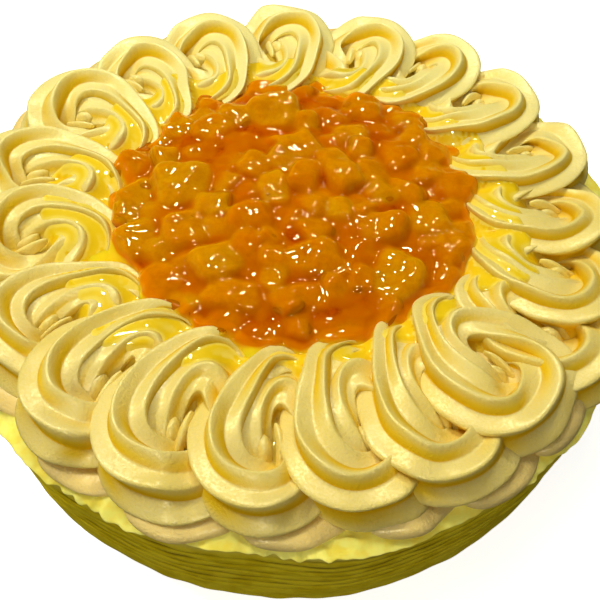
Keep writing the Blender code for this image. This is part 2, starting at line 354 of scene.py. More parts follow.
cream_coat = Shader("lemon_cream", Roughness=0.5, IOR=1.45, Specular_IOR_Level=0.15,
                    Subsurface_Weight=0.15, Subsurface_Scale=0.002, Subsurface_Radius=(1.0, 0.8, 0.25),
                    Emission_Strength=0.08)
coat_place = cream_coat.place()
coat_mottle = cream_coat.noise(coat_place, 160.0, 3.0).step(0.40, 0.62)
# The top and the side are lit and shaded copies of one lemon cream: the side's deeper, darker yellow is
# painted shade, paler towards the top of the side.
lit_top_colour = cream_coat.mix(coat_mottle, colour(255, 248, 126), colour(247, 230, 88))
shaded_side_colour = cream_coat.mix(coat_mottle, colour(236, 214, 34), colour(220, 195, 12))
coat_height = cream_coat.node("ShaderNodeSeparateXYZ", {}, {"Vector": coat_place}, "Z")
shaded_side_colour = cream_coat.mix(coat_height.step(0.0370, 0.0410), shaded_side_colour, colour(230, 214, 92))
# The comb's grooves are painted dark: painted shade in the grooves.
groove_shade_share = cream_coat.attribute("groove").step(0.03, 0.6)
shaded_side_colour = cream_coat.mix(groove_shade_share, shaded_side_colour, colour(92, 72, 0))
side_shade_share = cream_coat.attribute("side").step(0.1, 0.9)
cream_coat.feed("Base Color", cream_coat.mix(side_shade_share, lit_top_colour, shaded_side_colour))
# The top and the ledge glow faintly in their own colour, and the side not at all: painted light.
cream_coat.feed("Emission Color", cream_coat.mix(side_shade_share, lit_top_colour, colour(0, 0, 0)))
cream_coat.bump(cream_coat.noise(coat_place, 900.0, 2.0), 0.0002, 0.35)

cake_points, cake_grooves, cake_side = coated_cake()
cake = mesh_piece("coated_cake", cake_points.reshape(-1, 3),
                  [grid_faces(len(cake_points), SIDE_COLUMNS, closed_columns=True)],
                  cream_coat.material, {"groove": cake_grooves, "side": cake_side})
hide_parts("iced_cake")
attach(cake, "root")

# The border of rosettes, butter-yellow cream piped through a large star nozzle.
# Each is one rope with six deep flutes, wound clockwise out from its eye and torn off at the mango.
# It lies up on the flank of the one before, and its lowest flute is pressed out as a fat foot.
ROSETTE_PLACES = ((329, 0.0860), (344, 0.0828), (1, 0.0805), (19, 0.0818), (39, 0.0828),
                  (57, 0.0832), (74, 0.0795), (96, 0.0800), (117, 0.0802), (135, 0.0805),
                  (153, 0.0820), (173, 0.0832), (192, 0.0810), (215, 0.0808), (233, 0.0814),
                  (250, 0.0820), (267, 0.0812), (285, 0.0802), (300, 0.0816), (314, 0.0808))
# The oval that the middle of the rope follows, and how far outwards from the rosette's place it lies.
RING_ACROSS = 0.0136
RING_ALONG = 0.0137
RING_OUTWARDS = 0.0030
ROPE_STEPS = 222
SECTION_STEPS = 132
FLUTES = 6
# The radius over the valleys of the rope, as a share of that over its crests: outside, and in the eye.
VALLEY_SHARE = 0.59
INNER_VALLEY_SHARE = 0.78
# How much further those at the left and the front reach over the mango, and which way that is.
LONG_REACH = 0.15
LONG_SIDE = 222
TWIST_RATE = 0.50
# How far the crests are drawn out to points at the torn end.
TORN_LENGTH = 0.0080
# The slope of a rosette that lies up on the one before, and how much it is pressed down under the next.
# The first has none to lie on. The last lies on both its neighbours, and stands higher.
LEAN = 0.15
FIRST_LEAN = -0.06
LAST_LEAN = 0.04
PRESSED_DOWN = 0.30
LAST_HEIGHT = 1.12
# The start and the end of the rope, in turns before its end and in degrees round the eye.
ROPE_TURNS = 1.54
END_ANGLE = 288
# The foot: where it starts and ends, in degrees round the eye, how thick it is, and where it lies.
FOOT_START = -30
FOOT_END = 104
FOOT_RADIUS = 0.0036
FOOT_RING = 0.0236
FOOT_MIDDLE = 0.0024
FOOT_STEPS = 60
FOOT_SECTION = 24
# How the rope grows from its start in the eye to its torn end, by the turns left to lay: the radius
# over its crests, how far the spiral has opened each way, and the height of its middle, in metres.
TURNS_LEFT = (0.0, 0.12, 0.25, 0.5, 0.75, 1.0, 1.25, 1.4, 1.55)
CREST_RADIUS = (0.0064, 0.0080, 0.0095, 0.0104, 0.0098, 0.0085, 0.0064, 0.0048, 0.0032)
OPEN_ACROSS = (0.88, 0.96, 1.0, 1.0, 0.95, 0.74, 0.50, 0.40, 0.30)
OPEN_ALONG = (1.86, 1.56, 1.14, 0.94, 0.98, 1.32, 0.97, 0.80, 0.66)
ROPE_HEIGHT = (0.0092, 0.0082, 0.0072, 0.0066, 0.0066, 0.0074, 0.0070, 0.0054, 0.0028)
# The eye, where the nozzle first pressed the cream out: a bud, and a thin strand drawn down beside it.
# Each is how thick, how far to the right of the middle, where it starts and ends outwards, and how
# high it starts and ends.
EYE_PIECES = ((0.0029, -0.0016, -0.0030, 0.0066, 0.0084, 0.0042),
              (0.0016, 0.0016, -0.0060, 0.0092, 0.0104, 0.0046))
EYE_STEPS = 36
EYE_SECTION = 30
# What the attribute "ridge" says of the foot and the eye. Of the rope it says 0 in a valley, 1 on a crest.
FOOT_RIDGE = 1.3
EYE_RIDGE = 0.8


def eased(turns_left, values):
    """The values above, joined by a smooth curve over the turns left to lay."""
    fine = np.linspace(0, TURNS_LEFT[-1], 200)
    stepped = np.interp(fine, TURNS_LEFT, values)
    window = np.hanning(19)
    padded = np.concatenate([np.full(9, stepped[0]), stepped, np.full(9, stepped[-1])])
    return np.interp(turns_left, fine, np.convolve(padded, window / window.sum(), "valid"))


def star(around, twist, crest_radius, valley_share):
    """Radius of a star with straight sides: 1/r goes in sines from 1/crest to 1/valley over half a flute.
    The cosine taken a little short of one rounds the crests, and the valleys less."""
    half = math.pi / FLUTES
    wave = np.cos(FLUTES * (around - twist))
    share = np.arccos(wave * (0.955 - 0.025 * wave)) / math.pi
    sines = np.sin(half * (1 - share)) + np.sin(half * share) / valley_share
    return math.sin(half) * crest_radius / sines, 1 - share


def upward(grid):
    """How far each point of a tube faces up, -1 to 1: the height of the unit normal, which is the cross
    product of the grid's two directions."""
    normal = np.cross(np.gradient(grid, axis=0), np.roll(grid, -1, axis=1) - np.roll(grid, 1, axis=1))
    height = normal[..., 2] / np.maximum(np.linalg.norm(normal, axis=-1), 1e-15)
    return height * np.sign((height * (grid[..., 2] - grid[..., 2].mean(axis=1, keepdims=True))).sum())


def rope(chance, number, size):
    """The star turned in upright planes about the eye, while the spiral opens and the star itself slowly
    turns. Local x runs to the next rosette, y outwards. Returns its points and how near a crest each is."""
    end_angle = math.radians(END_ANGLE + chance.uniform(-14, 12))
    left = np.linspace(ROPE_TURNS + chance.uniform(-0.06, 0.06), 0, ROPE_STEPS)[:, None]
    turned = end_angle - 2 * math.pi * left
    crest_radius = eased(left, CREST_RADIUS) * size * (1 + 0.03 * np.sin(2 * turned + chance.uniform(0, 6)))
    crest_radius = crest_radius * (1 - 0.55 * smooth(left, 0.10, 0.0))
    crest_radius = crest_radius * np.sqrt(np.clip((left[0, 0] - left) / 0.12, 0.02, 1))
    bend = (1 + 0.035 * np.sin(2 * turned + chance.uniform(0, 6))
            + 0.016 * np.sin(3 * turned + chance.uniform(0, 6)))
    across = RING_ACROSS * size * (1 + 0.04 * chance.uniform(-1, 1)) * eased(left, OPEN_ACROSS) * bend
    along = RING_ALONG * size * (1 + 0.04 * chance.uniform(-1, 1)) * eased(left, OPEN_ALONG) * bend
    facing = math.cos(math.radians(ROSETTE_PLACES[number][0] - LONG_SIDE))
    along = along * (1 + LONG_REACH * max(0.3 + 0.7 * facing, 0) * smooth(left, 0.32, 0.02))

    # The section: deep valleys outside, shallow ones in the eye, and fatter below.
    around = np.linspace(-math.pi, math.pi, SECTION_STEPS, endpoint=False)[None, :]
    twist = math.radians(chance.uniform(-12, 12) + 18) + left * 2 * math.pi * TWIST_RATE
    valley_share = VALLEY_SHARE + (INNER_VALLEY_SHARE - VALLEY_SHARE) * smooth(left, 0.85, 1.2)
    radius, crest = star(around, twist, crest_radius, valley_share)
    crest = 1 - (1 - crest) * (1 - valley_share) / (1 - VALLEY_SHARE)
    out = radius * np.cos(around) * (1 + 0.18 * smooth(-np.sin(around), -0.55, 0.45))
    # Nothing crosses the middle of the eye.
    reach = (across + along) / 2
    soft = 0.0005
    out = soft * np.logaddexp(0, (out + reach) / soft) - reach
    points = np.empty((ROPE_STEPS, SECTION_STEPS, 3))
    points[..., 0] = (across + out) * np.cos(turned)
    points[..., 1] = (along + out) * np.sin(turned) + RING_OUTWARDS
    points[..., 2] = eased(left, ROPE_HEIGHT) * size + radius * np.sin(around)
    # At the torn end the crests are drawn out to points.
    tip = smooth(left, 0.10, 0.0) * (crest - 0.35) * TORN_LENGTH
    points[..., 0] -= tip * np.sin(turned)
    points[..., 1] += tip * np.cos(turned)
    return points, crest


def pressed_foot(chance, size):
    """The lowest flute: a tube bent round the outer side, thin at both ends."""
    end = math.radians(FOOT_END + chance.uniform(-8, 8))
    along = np.linspace(math.radians(FOOT_START), end, FOOT_STEPS)[:, None]
    around = np.linspace(0, 2 * math.pi, FOOT_SECTION, endpoint=False)[None, :]
    taper = np.clip(np.sin(np.linspace(0, math.pi, FOOT_STEPS)), 0.02, 1)[:, None] ** 0.4
    out = FOOT_RING * size + FOOT_RADIUS * 1.1 * taper * np.cos(around) - 0.0016 * (1 - taper)
    return polar(out, along, FOOT_MIDDLE + FOOT_RADIUS * taper * np.sin(around)) + (0, RING_OUTWARDS, 0)


def eye_strands(chance):
    """A tube for each strand in the eye, pointed at both ends, that bows aside as it goes down."""
    run = np.linspace(0, 1, EYE_STEPS)[:, None]
    around = np.linspace(0, 2 * math.pi, EYE_SECTION, endpoint=False)[None, :]
    pointed = np.sqrt(np.sin(math.pi * (0.04 + 0.92 * run))) * (1 - 0.25 * run)
    ribbed = 1 + 0.10 * np.cos(3 * around + 1.5)
    strands = []
    for thickness, aside, start, end, high, low in EYE_PIECES:
        thick = thickness * chance.uniform(0.85, 1.15) * pointed * ribbed
        bow = aside + chance.uniform(-0.0004, 0.0016) * np.sin(math.pi * run) + 0.0012 * (run - 0.5)
        strands.append(np.stack([bow + thick * np.cos(around),
                                 start + (end - start) * run + RING_OUTWARDS + 0 * around,
                                 high + (low - high) * run ** 2 + 1.2 * thick * np.sin(around)], axis=-1))
    return strands


def rosette(number):
    """The rope, the foot and the eye, leaned on the rosette before, pressed down where the next one lies
    on it, and put in its place. Returns the points, then ridge and level for each of them."""
    chance = np.random.default_rng(100 + number)
    last, first = number == len(ROSETTE_PLACES) - 1, number == 0
    size = 1 + 0.04 * chance.uniform(-1, 1)
    rope_points, crest = rope(chance, number, size)
    parts = [rope_points, pressed_foot(chance, size), *eye_strands(chance)]
    points = np.concatenate([part.reshape(-1, 3) for part in parts])

    lean = FIRST_LEAN if first else LAST_LEAN if last else LEAN
    points[:, 2] -= lean * points[:, 0] * smooth(points[:, 2], -0.004, 0.008)
    if last:
        points[:, 2] *= LAST_HEIGHT
    else:
        points[:, 2] *= 1 - PRESSED_DOWN * smooth(points[:, 0], 0.002, 0.014)
    points += 0.00026 * lumps(points + number, 200 + number, 0.018)[:, None]
    points[:, 2] = np.maximum(points[:, 2], -0.0004)

    # The middles of the tubes' ends close them, and go last.
    bounds = np.cumsum([part[..., 0].size for part in parts])[:-1]
    grids = [grid.reshape(part.shape) for grid, part in zip(np.split(points, bounds), parts)]
    ends = [grid[row].mean(axis=0) for grid in grids for row in (0, -1)]
    points = np.concatenate([points, ends])
    level = np.concatenate([upward(grid).ravel() for grid in grids] + [np.ones(len(ends))])
    in_eye = len(EYE_PIECES)
    ridge = np.concatenate([crest.ravel(), np.full(FOOT_STEPS * FOOT_SECTION, FOOT_RIDGE),
                            np.full(in_eye * EYE_STEPS * EYE_SECTION, EYE_RIDGE),
                            [1.0, 0.0, FOOT_RIDGE, FOOT_RIDGE], np.full(2 * in_eye, EYE_RIDGE)])

    angle = math.radians(ROSETTE_PLACES[number][0])
    outwards = np.array([math.cos(angle), math.sin(angle), 0])
    onwards = np.array([-math.sin(angle), math.cos(angle), 0])
    placed = (outwards * ROSETTE_PLACES[number][1] + (0, 0, CAKE_TOP)
              + points[:, :1] * onwards + points[:, 1:2] * outwards + points[:, 2:] * (0, 0, 1))
    return placed, ridge, level


def tube_faces(rows, columns, first, caps):
    """Four-cornered sides of a tube from point first on, and a fan from each end's middle point."""
    around = np.arange(columns)
    after = (around + 1) % columns
    base = first + (rows - 1) * columns
    fans = np.concatenate([np.stack([np.full(columns, caps), first + after, first + around], axis=1),
                           np.stack([np.full(columns, caps + 1), base + around, base + after], axis=1)])
    return grid_faces(rows, columns, closed_columns=True, start=first), fans


piped_cream = Shader("piped_cream", Roughness=0.5, IOR=1.45, Specular_IOR_Level=0.1,
                     Subsurface_Weight=0.2, Subsurface_Scale=0.0025, Subsurface_Radius=(1.0, 1.0, 0.25),
                     Coat_Roughness=0.34, Coat_IOR=1.95)
cream_place = piped_cream.place()
cream_ridge = piped_cream.attribute("ridge")
cream_mottle = piped_cream.noise(cream_place, 60.0, 3.0).step(0.35, 0.7)
lit_cream_colour = piped_cream.mix(cream_mottle, colour(242, 225, 140), colour(238, 218, 120))
# Rosettes towards the back are painted paler: painted light, where the light from behind falls on them more.
cream_behind = piped_cream.node("ShaderNodeSeparateXYZ", {}, {"Vector": cream_place}, "Y")
lit_cream_colour = piped_cream.mix(cream_behind.step(-0.05, 0.09), lit_cream_colour, colour(252, 241, 158))
# Steep faces and valleys are painted a deeper golden yellow: painted shade, a shaded copy of the pale cream.
# The coat is thinner where this shade is painted.
steep = piped_cream.attribute("level").step(0.95, 0.66)
low = steep * cream_ridge.step(1.0, 0.40)
shaded_cream_colour = piped_cream.mix(cream_ridge.step(0.55, 0.0), colour(240, 204, 42), colour(230, 182, 4))
cream_main = piped_cream.mix(low, lit_cream_colour, shaded_cream_colour)
cream_foot = cream_ridge.step(1.05, 1.25)
piped_cream.feed("Base Color", piped_cream.mix(cream_foot, cream_main, colour(249, 221, 136)))
cream_grain = piped_cream.noise(cream_place, 1300.0, 3.0, 0.6)
piped_cream.feed("Coat Weight", (1 - low) * (0.25 + 0.75 * cream_grain.step(0.40, 0.62)))
piped_cream.bump(cream_grain, 0.0005, 0.65)

tubes = [(ROPE_STEPS, SECTION_STEPS), (FOOT_STEPS, FOOT_SECTION)]
tubes += [(EYE_STEPS, EYE_SECTION)] * len(EYE_PIECES)
tube_starts = np.cumsum([0] + [steps * section for steps, section in tubes])
tube_sides = [tube_faces(*tube, start, tube_starts[-1] + 2 * number)
              for number, (tube, start) in enumerate(zip(tubes, tube_starts))]
rosette_faces = [np.concatenate(faces) for faces in zip(*tube_sides)]
cream_points = []
for rosette_number in range(len(ROSETTE_PLACES)):
    rosette_points, rosette_ridge, rosette_level = rosette(rosette_number)
    piece = mesh_piece(f"piped_rosette_{rosette_number + 1:02d}", rosette_points, rosette_faces,
                       piped_cream.material, {"ridge": rosette_ridge, "level": rosette_level})
    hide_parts(f"rosette_{rosette_number + 1:02d}")
    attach(piece, "root")
    cream_points.append(rosette_points)

# The diced mango, heaped in the middle and set in a clear orange glaze.
# The fruit is cut into soft dice with a knife, cooked a little, and tipped onto the cake with its
# glaze, which stands between the dice and bends down where it meets the cream.
# The large dice as they lie, in millimetres and degrees: how far right of the middle and how far
# behind it, how long, how wide, how far they stand out of the glaze, and their turn.
LARGE_DICE = ((-35, 4, 19, 18, 3.4, 12), (-53, 12, 16, 14, 2.2, -20), (-47, -18, 15, 14, 2.6, 28),
              (-39, -34, 13, 13, 2.2, 42), (-33, -15, 13, 14, 3.0, 15), (-22, -27, 15, 13, 3.4, 22),
              (-17, -39, 17, 10, 2.6, -6), (-30, -47, 14, 9, 1.2, -10), (-13, -11, 14, 11, 2.6, 8),
              (-12, 12, 11, 11, 2.4, 60), (-6, 1, 9, 14, 2.6, 12), (4, 7, 9, 14, 3.2, -10),
              (15, 11, 11, 21, 3.8, 24), (14, -7, 9, 9, 2.2, 0), (27, -13, 17, 11, 3.0, 4),
              (41, -7, 16, 15, 2.0, 4), (53, 9, 15, 15, 3.0, -10), (53, -13, 12, 14, 2.8, 24),
              (31, -30, 16, 18, 2.8, -28), (6, -26, 18, 12, 2.4, 15), (-5, -32, 9, 12, 1.6, -20),
              (6, -39, 14, 9, 1.6, 0), (12, -50, 16, 9, 1.4, 5), (-10, -51, 17, 9, 0.9, 0),
              (44, -29, 15, 11, 0.8, -20), (2, 22, 13, 13, 2.6, 30), (-7, 37, 17, 17, 3.8, 12),
              (24, 45, 14, 15, 2.8, -12), (40, 40, 17, 11, 2.0, 0), (35, 21, 13, 14, 2.2, 20),
              (-28, 30, 13, 14, 2.2, -30), (28, 1, 10, 11, 1.8, 50), (-10, 56, 17, 10, 2.0, 6),
              (20, 30, 12, 10, 1.8, 20), (-42, 42, 13, 9, 0.8, -40))
LARGER = 1.08
# The small dice between them: their number, half size, and how far they stand out of the glaze.
SMALL_DICE = 66
SMALL_DIE = (0.0044, 0.0066)
SMALL_PROUD = (-0.0006, 0.0022)
# How close two dice may come, as a share of their half sizes together, and how far from the glaze's
# edge the outermost small ones may stop.
DICE_APART = 0.86
RIM_GAP = 0.0065
# How often the small dice are pushed apart, and by what share of what they overlap.
PUSHES = 120
PUSH_SHARE = 0.3
# The usual slope of a large die, and how many times that of a small one.
DICE_SLOPE = 0.12
SMALL_SLOPE = 1.5
# How far the fruit reaches from the middle, and how much further at the back.
FRUIT_REACH = 0.0606
FRUIT_BACK = 0.0052
# The power of a die's rounded block, and how much of a wave its three-sided cut puts into its outline.
DICE_POWER = 3.8
DICE_SKEW = 0.07
# How far the dice lie below the skin that the glaze draws over them.
DICE_UNDER = 0.0008
DIE_ROWS = 27
DIE_COLUMNS = 40
# The glaze's own level above the coating, at its edge and in the middle, and how far out it falls.
POOL_EDGE = 0.0106
POOL_CROWN = 0.0165
POOL_ROUND = 0.062
POOL_REACH = 0.0680
POOL_RINGS = 148
POOL_COLUMNS = 600
# How far it bends down at the cream, and steps down where the thin juice begins.
EDGE_BEND = 0.0018
EDGE_DROP = 0.0015
# The glaze lies over all the fruit: how thick its film is there, how soft its corners are, and the
# cells of the map that it is evened on.
FILM = 0.00015
FILM_SOFT = 0.00025
FRUIT_CELL = 0.00036
FRUIT_CELLS = 400
# The cells of the map of the cream's height.
CREAM_CELL = 0.0007
CREAM_CELLS = 330
GOLDEN_ANGLE = math.pi * (3 - math.sqrt(5))


def fruit_reach(angle):
    """How far the fruit and its orange glaze reach from the middle: further at the back than in front."""
    return FRUIT_REACH + FRUIT_BACK * np.cos(angle - 1.4) + 0.0010 * waves(angle, 34, 4, 16)


def pool_level(radius):
    """The glaze's level above the coating: highest in the middle."""
    return POOL_EDGE + (POOL_CROWN - POOL_EDGE) * (1 - np.clip(radius / POOL_ROUND, 0, 1.1) ** 2)


def cream_map():
    """The cream's height above the coating over the plan: the highest of the rosettes' points in each
    square cell, and empty cells filled from their neighbours."""
    spots = np.concatenate(cream_points)
    cells = np.clip((spots[:, :2] / CREAM_CELL + CREAM_CELLS / 2).astype(int), 0, CREAM_CELLS - 1)
    heights = np.full((CREAM_CELLS, CREAM_CELLS), -1.0)
    np.maximum.at(heights, (cells[:, 0], cells[:, 1]), spots[:, 2] - CAKE_TOP)
    for _ in range(3):
        near = np.max([np.roll(heights, shift, axis) for shift in (-1, 1) for axis in (0, 1)], axis=0)
        heights = np.where(heights < 0, near, heights)
    return np.maximum(heights, 0)


def evened(heights, times):
    """The map with each cell drawn towards its neighbours, many times over."""
    for _ in range(times):
        for axis in (0, 1):
            heights = (np.roll(heights, 1, axis) + 2 * heights + np.roll(heights, -1, axis)) / 4
    return heights


def from_map(heights, x, y, cell=CREAM_CELL):
    """Reads the map between its cells' middles."""
    across, along = x / cell + len(heights) / 2 - 0.5, y / cell + len(heights) / 2 - 0.5
    column, row = np.floor(across).astype(int), np.floor(along).astype(int)
    u, v = across - column, along - row
    return ((heights[column, row] * (1 - u) + heights[column + 1, row] * u) * (1 - v)
            + (heights[column, row + 1] * (1 - u) + heights[column + 1, row + 1] * u) * v)


def dice_places():
    """Centre, half sizes, turn, slope and cut of each die. The large ones lie as listed. The small ones
    are spread by the golden angle, then pushed out of the way of the others. Those that reach past the
    glaze's edge lie lower."""
    chance = np.random.default_rng(21)
    listed = np.array(LARGE_DICE, float)
    large, count = len(listed), len(listed) + SMALL_DICE
    number = np.arange(SMALL_DICE)
    bearing = number * GOLDEN_ANGLE
    radius = (fruit_reach(bearing) - SMALL_DIE[0]) * np.sqrt((number + 0.5) / SMALL_DICE)
    small_spot = polar(radius, bearing, 0)[:, :2]
    small = chance.uniform(*SMALL_DIE, SMALL_DICE)
    spot = np.concatenate([listed[:, :2] / 1000, small_spot])
    long = np.concatenate([LARGER * listed[:, 2] / 2000, small * chance.uniform(1.0, 1.3, SMALL_DICE)])
    wide = np.concatenate([LARGER * listed[:, 3] / 2000, small * chance.uniform(0.8, 1.0, SMALL_DICE)])
    proud = np.concatenate([listed[:, 4] / 1000 - 0.0004, chance.uniform(*SMALL_PROUD, SMALL_DICE)])
    turn = np.concatenate([np.radians(listed[:, 5]), chance.uniform(0, math.pi, SMALL_DICE)])
    size = (long + wide) / 2
    others = 1 - np.eye(count)
    moves = np.where(np.arange(count) < large, 0.0, PUSH_SHARE)[:, None]
    inset = SMALL_DIE[0] + chance.uniform(0, RIM_GAP, count)
    for _ in range(PUSHES):
        apart = spot[:, None] - spot[None]
        distance = np.linalg.norm(apart, axis=2) + 1 - others
        press = np.clip(DICE_APART * (size[:, None] + size[None]) - distance, 0, None) * others
        spot = spot + moves * (apart * (press / distance)[..., None]).sum(axis=1)
        reach = fruit_reach(np.arctan2(spot[:, 1], spot[:, 0])) - inset
        inside = np.maximum(np.linalg.norm(spot, axis=1) / reach, 1)[:, None]
        spot = np.where(moves > 0, spot / inside, spot)
    slope = chance.normal(0, DICE_SLOPE, (2, count)) * np.where(np.arange(count) < large, 1.0, SMALL_SLOPE)
    radius, bearing = np.linalg.norm(spot, axis=1), np.arctan2(spot[:, 1], spot[:, 0])
    past = radius + 0.6 * size - fruit_reach(bearing)
    top = pool_level(radius) + proud - 0.9 * np.clip(past, 0, None)
    high = np.minimum(0.85 * size, top / 2)
    return (spot[:, 0], spot[:, 1], CAKE_TOP + top - high, long, wide, high, turn, slope[0], slope[1],
            chance.uniform(0, 2 * math.pi, count))


dice = dice_places()


def die_tint(number):
    """Where each die stands between the two colours of the fruit, 0 to 1."""
    return (number * 0.618) % 1.0


def dice_tops(x, y):
    """The highest die over each point of the plan, and its tint: a rounded block's upper half is its
    height times (1 - u^p - v^p)^(1/p), on a tilted plane."""
    best, tint = np.full(x.shape, -1.0), np.full(x.shape, 0.5)
    for number, (cx, cy, cz, long, wide, high, turn, slope_x, slope_y, skew) in enumerate(zip(*dice)):
        dx, dy = x - cx, y - cy
        u = (dx * math.cos(turn) + dy * math.sin(turn)) / long
        v = (-dx * math.sin(turn) + dy * math.cos(turn)) / wide
        cut = 1 + DICE_SKEW * np.cos(3 * np.arctan2(v, u) + skew)
        spread = (np.abs(u) ** DICE_POWER + np.abs(v) ** DICE_POWER) / cut ** DICE_POWER
        top = cz + slope_x * dx + slope_y * dy + high * np.clip(1 - spread, 0, 1) ** (1 / DICE_POWER)
        top = np.where(spread < 1, top, -1.0)
        tint = np.where(top > best, die_tint(number), tint)
        best = np.maximum(best, top)
    return best, tint


def dice_mesh():
    """Each die is a rounded block: the surface u^p + v^p + w^p = 1, drawn over a ball's two angles, with
    its tilt as a slope, its outline a little three-sided and its faces a little uneven. Past the glaze's
    edge it is drawn down under the cream."""
    rise = np.linspace(-math.pi / 2, math.pi / 2, DIE_ROWS)[1:-1, None]
    bearing = np.linspace(0, 2 * math.pi, DIE_COLUMNS, endpoint=False)[None, :]
    ball = polar(np.cos(rise), bearing, np.sin(rise))
    ball = np.concatenate([ball.reshape(-1, 3), [[0, 0, -1.0], [0, 0, 1.0]]])
    bearing = np.arctan2(ball[:, 1], ball[:, 0])
    block = ball / (np.abs(ball) ** DICE_POWER).sum(axis=1)[:, None] ** (1 / DICE_POWER)
    points, tints = [], []
    for number, (cx, cy, cz, long, wide, high, turn, slope_x, slope_y, skew) in enumerate(zip(*dice)):
        cut = 1 + DICE_SKEW * np.cos(3 * bearing + skew)
        u, v = block[:, 0] * long * cut, block[:, 1] * wide * cut
        x = u * math.cos(turn) - v * math.sin(turn)
        y = u * math.sin(turn) + v * math.cos(turn)
        placed = np.stack([cx + x, cy + y, cz + block[:, 2] * high + slope_x * x + slope_y * y], axis=-1)
        placed += (0.00020 * lumps(placed, 300, 0.008) - DICE_UNDER)[:, None] * ball
        past = np.hypot(placed[:, 0], placed[:, 1]) - fruit_reach(np.arctan2(placed[:, 1], placed[:, 0]))
        placed[:, 2] -= 1.5 * np.clip(past + 0.0020, 0, 0.004)
        points.append(placed)
        tints.append(np.full(len(ball), die_tint(number)))
    sides = tube_faces(DIE_ROWS - 2, DIE_COLUMNS, 0, (DIE_ROWS - 2) * DIE_COLUMNS)
    faces = [np.concatenate([side + number * len(ball) for number in range(len(points))]) for side in sides]
    points = np.concatenate(points)
    rise = points[:, 2] - CAKE_TOP - pool_level(np.hypot(points[:, 0], points[:, 1]))
    return points, faces, {"tint": np.concatenate(tints), "rise": rise}


cream_heights = cream_map()


def glaze_blanket():
    """Maps over the plan: how far the glaze is drawn up over its own level, how near the fruit is, how much
    of it stands out, and its tint. All come from the dice's own tops, evened, so that the glaze fills the
    corners between the dice and rounds off their edges."""
    middles = (np.arange(FRUIT_CELLS) + 0.5 - FRUIT_CELLS / 2) * FRUIT_CELL
    x, y = np.meshgrid(middles, middles, indexing="ij")
    tops, tint = dice_tops(x, y)
    proud = np.maximum(tops - CAKE_TOP - pool_level(np.hypot(x, y)), -0.004)
    filled = evened(np.clip(proud, 0, None), 10)
    lift = FILM_SOFT * np.logaddexp(filled / FILM_SOFT, (proud + FILM) / FILM_SOFT)
    return (evened(lift, 2), evened(smooth(proud, -0.0030, 0.0008), 14),
            evened(smooth(proud, -0.0006, 0.0016), 8), evened(tint, 8))


def glaze_pool():
    """A polar grid over the middle: the level pool, drawn up over each die that stands out of it, and
    bent down along the cream, the more the nearer the cream's surface comes to its own. It steps down
    where the thick orange glaze ends and the thin juice goes on."""
    ring = np.linspace(0, 1, POOL_RINGS)[1:, None] * POOL_REACH
    angle = np.linspace(0, 2 * math.pi, POOL_COLUMNS, endpoint=False)[None, :]
    spots = polar(ring, angle, 0)
    x, y = spots[..., 0], spots[..., 1]
    past = ring - fruit_reach(angle)
    lift, near, top, tint = (from_map(each, x, y, FRUIT_CELL) for each in glaze_blanket())
    height = (pool_level(ring) + 0.00030 * lumps(spots, 31, 0.013) + lift
              + 0.00013 * lumps(spots, 32, 0.0058) + 0.00002 * lumps(spots, 33, 0.0027))
    thickness = height - from_map(evened(cream_heights, 3), x, y)
    height = height - EDGE_BEND * np.exp(-np.clip(thickness, 0, 1) / 0.0022)
    height = height - EDGE_DROP * smooth(past, -0.0016, 0.0012)
    orange = np.clip(thickness, 0, 0.02) / 0.02 * smooth(past, 0.0015, -0.0015)

    points = polar(ring, angle, CAKE_TOP + height).reshape(-1, 3)
    base = polar(POOL_REACH, angle[0], CAKE_TOP + 0.0005)
    middle = points[:POOL_COLUMNS].mean(axis=0)
    points = np.concatenate([points, base, [(0, 0, CAKE_TOP + 0.0005), middle]])
    quads, caps = tube_faces(POOL_RINGS, POOL_COLUMNS, 0, POOL_RINGS * POOL_COLUMNS)
    caps[:POOL_COLUMNS, 0] += 1
    caps[POOL_COLUMNS:, 0] -= 1
    rest = np.zeros(len(base) + 2)
    attributes = {"near": near, "top": top, "tint": tint, "thickness": orange}
    attributes = {name: np.concatenate([values.ravel(), rest]) for name, values in attributes.items()}
    return points, [quads[:, ::-1], caps[:, ::-1]], attributes


def soft_fruit(name, coat_roughness):
    """Wet, soft and see-through: light goes some way in, and a little of it comes back from below.
    It also glows faintly in its own colour: painted light that softens its shading.
    """
    return Shader(name, Roughness=0.5, Specular_IOR_Level=0.0, Subsurface_Weight=0.85, Subsurface_Scale=0.006,
                  Subsurface_Radius=(1.0, 0.6, 0.1), Coat_Weight=1.0, Coat_Roughness=coat_roughness,
                  Coat_IOR=1.5, Emission_Strength=0.09)


def fruit_colour(shader):
    """Amber, from one die to the next a little more olive or more orange, and mottled within each."""
    mottle = shader.noise(shader.place(), 170.0, 4.0, 0.6).step(0.3, 0.75)
    tint = shader.attribute("tint")
    dull = shader.mix(tint, colour(212, 150, 4), colour(206, 122, 0))
    ripe = shader.mix(tint, colour(200, 132, 2), colour(198, 108, 0))
    grain = shader.noise(shader.place(), 620.0, 2.0, 0.6).step(0.25, 0.75)
    return shader.mix(grain * 0.30, shader.mix(mottle, dull, ripe), colour(176, 92, 0))


mango_flesh = soft_fruit("mango_flesh", 0.03)
flesh_colour = fruit_colour(mango_flesh)
flesh_low = mango_flesh.attribute("rise").step(0.0030, 0.0004)
flesh_colour = mango_flesh.mix(flesh_low, flesh_colour, colour(184, 96, 0))
mango_flesh.feed("Base Color", flesh_colour)
# The flesh glows faintly in its own colour: painted light.
mango_flesh.feed("Emission Color", flesh_colour)

